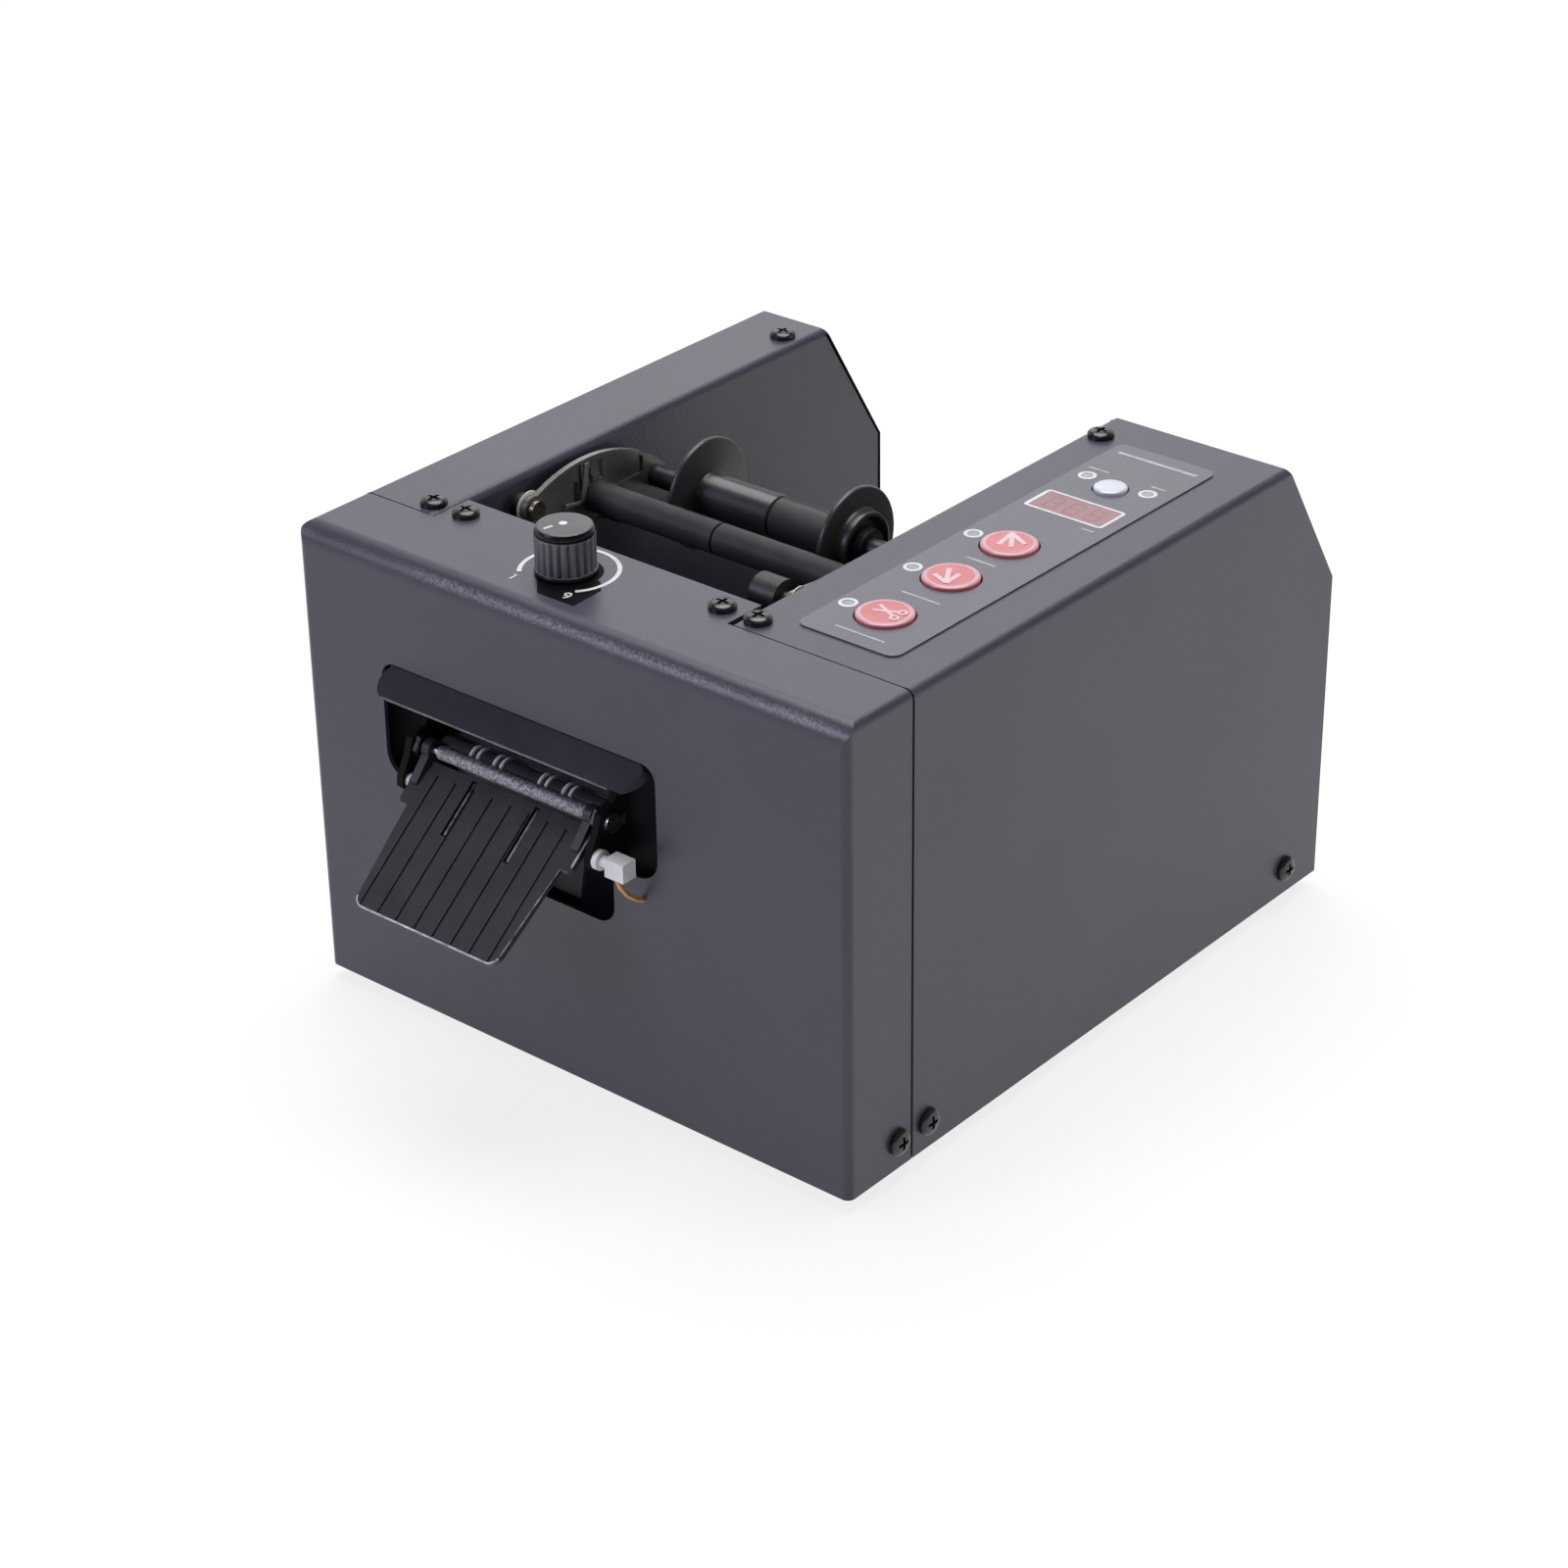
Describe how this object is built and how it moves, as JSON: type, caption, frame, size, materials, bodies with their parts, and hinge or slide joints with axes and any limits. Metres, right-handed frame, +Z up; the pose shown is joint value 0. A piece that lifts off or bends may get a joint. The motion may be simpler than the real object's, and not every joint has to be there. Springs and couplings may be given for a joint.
{
  "type": "electric tape dispenser",
  "caption": "Desk machine that feeds and cuts tape: sheet case, roll well with spool on swing arms, feed rollers, guillotine blade, tray, keys and speed knob.",
  "frame": {"origin": "centre of the whole machine's plan on the desk, at the underside of the feet", "axes": "+X to the keys' side, +Y to the rear, +Z up; tape leaves toward -Y"},
  "size_m": [0.1808, 0.2428, 0.1457],
  "materials": {
    "grey_paint": "fine satin powder coat",
    "dark_sheet": "black coated sheet",
    "black_plastic": "satin moulded",
    "grey_plastic": "moulded",
    "foot_rubber": "matt",
    "steel": "ground",
    "brass_metal": "turned",
    "collar_metal": "turned",
    "gear_plastic": "moulded",
    "film": "printed overlay",
    "red_keys": "moulded",
    "silver_key": "moulded",
    "lamp_plastic": "clear moulded",
    "display_plastic": "tinted window",
    "board": "coated laminate"
  },
  "bodies": {
    "case": {"base_plate": "dark_sheet", "foot_front_left": "foot_rubber", "foot_front_right": "foot_rubber", "foot_rear_left": "foot_rubber", "foot_rear_right": "foot_rubber", "front_cover": "grey_paint", "left_cover": "grey_paint", "right_cover": "grey_paint", "left_rear_panel": "grey_paint", "right_rear_panel": "grey_paint", "well_panel": "grey_paint", "mouth_hood": "black_plastic", "left_cheek": "dark_sheet", "right_cheek": "dark_sheet", "tray_stay": "dark_sheet", "exit_shaft": "steel", "blade_bar": "dark_sheet", "fixed_blade": "steel", "left_guide": "black_plastic", "right_guide": "black_plastic", "motor_plate": "dark_sheet", "cutter_motor": "steel", "feed_motor": "steel", "sensor_emitter": "gear_plastic", "sensor_receiver": "black_plastic", "pivot_bolts": "brass_metal", "pivot_collar": "collar_metal", "arm_stops": "steel", "key_film": "film", "lamps": "lamp_plastic", "display": "display_plastic", "control_board": "board", "speed_pot": "black_plastic", "rocker_frame": "black_plastic", "power_inlet": "black_plastic"},
    "tray": {"tray": "black_plastic"},
    "exit": {"exit_roller": "steel"},
    "ring": {"ring_roller": "black_plastic", "roller_rings": "foot_rubber"},
    "feed": {"feed_roller": "foot_rubber", "feed_shaft": "steel", "feed_gear": "gear_plastic"},
    "pinion": {"motor_pinion": "brass_metal"},
    "pinch": {"pinch_roller": "steel"},
    "crank": {"cutter_crank": "steel"},
    "blade": {"moving_blade": "steel", "blade_carrier": "black_plastic"},
    "carrier": {"left_arm": "grey_plastic", "right_arm": "grey_plastic", "guide_shaft": "steel"},
    "guide": {"guide_sleeves": "black_plastic"},
    "spool": {"spool_left": "black_plastic", "spool_right": "black_plastic", "spool_axle": "black_plastic"},
    "knob": {"speed_knob": "black_plastic"},
    "key_feed": {"feed_key": "red_keys"},
    "key_reverse": {"reverse_key": "red_keys"},
    "key_cut": {"cut_key": "red_keys"},
    "key_set": {"set_key": "silver_key"},
    "switch": {"rocker": "black_plastic"}
  },
  "joints": [
    {"name": "tray_tilt", "type": "hinge", "parent": "case", "child": "tray", "pos_m": [-0.0158, -0.08801, 0.085], "axis": [-1, 0, 0], "range_deg": [-15, 30]},
    {"name": "exit_spin", "type": "hinge", "parent": "case", "child": "exit", "pos_m": [-0.0158, -0.08801, 0.085], "axis": [1, 0, 0], "continuous": true},
    {"name": "ring_spin", "type": "hinge", "parent": "case", "child": "ring", "pos_m": [-0.0158, -0.08261, 0.0838], "axis": [1, 0, 0], "continuous": true},
    {"name": "feed_spin", "type": "hinge", "parent": "case", "child": "feed", "pos_m": [-0.0158, -0.06331, 0.0775], "axis": [1, 0, 0], "continuous": true},
    {"name": "pinion_spin", "type": "hinge", "parent": "case", "child": "pinion", "pos_m": [-0.0158, -0.06631, 0.06077], "axis": [1, 0, 0], "continuous": true},
    {"name": "pinch_spin", "type": "hinge", "parent": "case", "child": "pinch", "pos_m": [-0.0158, -0.06331, 0.0944], "axis": [1, 0, 0], "continuous": true},
    {"name": "crank_swing", "type": "hinge", "parent": "case", "child": "crank", "pos_m": [-0.0158, -0.06381, 0.104], "axis": [1, 0, 0], "range_deg": [0, 38.94]},
    {"name": "blade_slide", "type": "slide", "parent": "case", "child": "blade", "axis": [0, 0, -1], "range_m": [0, 0.008]},
    {"name": "carrier_swing", "type": "hinge", "parent": "case", "child": "carrier", "pos_m": [-0.0158, -0.03092, 0.1252], "axis": [1, 0, 0], "range_deg": [0, 45]},
    {"name": "guide_spin", "type": "hinge", "parent": "carrier", "child": "guide", "pos_m": [-0.0158, -0.00792, 0.1209], "axis": [1, 0, 0], "continuous": true},
    {"name": "spool_spin", "type": "hinge", "parent": "carrier", "child": "spool", "pos_m": [-0.0158, 0.01569, 0.1183], "axis": [1, 0, 0], "continuous": true},
    {"name": "knob_turn", "type": "hinge", "parent": "case", "child": "knob", "pos_m": [-0.01655, -0.06442, 0.133], "axis": [0, 0, 1], "range_deg": [-150, 150]},
    {"name": "key_feed_press", "type": "slide", "parent": "case", "child": "key_feed", "axis": [0, 0, -1], "range_m": [0, 0.0005], "stiffness_N_per_m": 1200},
    {"name": "key_reverse_press", "type": "slide", "parent": "case", "child": "key_reverse", "axis": [0, 0, -1], "range_m": [0, 0.0005], "stiffness_N_per_m": 1200},
    {"name": "key_cut_press", "type": "slide", "parent": "case", "child": "key_cut", "axis": [0, 0, -1], "range_m": [0, 0.0005], "stiffness_N_per_m": 1200},
    {"name": "key_set_press", "type": "slide", "parent": "case", "child": "key_set", "axis": [0, 0, -1], "range_m": [0, 0.0005], "stiffness_N_per_m": 1200},
    {"name": "switch_tilt", "type": "hinge", "parent": "case", "child": "switch", "pos_m": [0.06065, 0.11618, 0.066], "axis": [1, 0, 0], "range_deg": [0, 16]}
  ],
  "couplings": [
    {"joint": "pinion_spin", "follows": "feed_spin", "ratio": -1.4286},
    {"joint": "crank_swing", "follows": "blade_slide", "rad_per_m": 84.951}
  ]
}
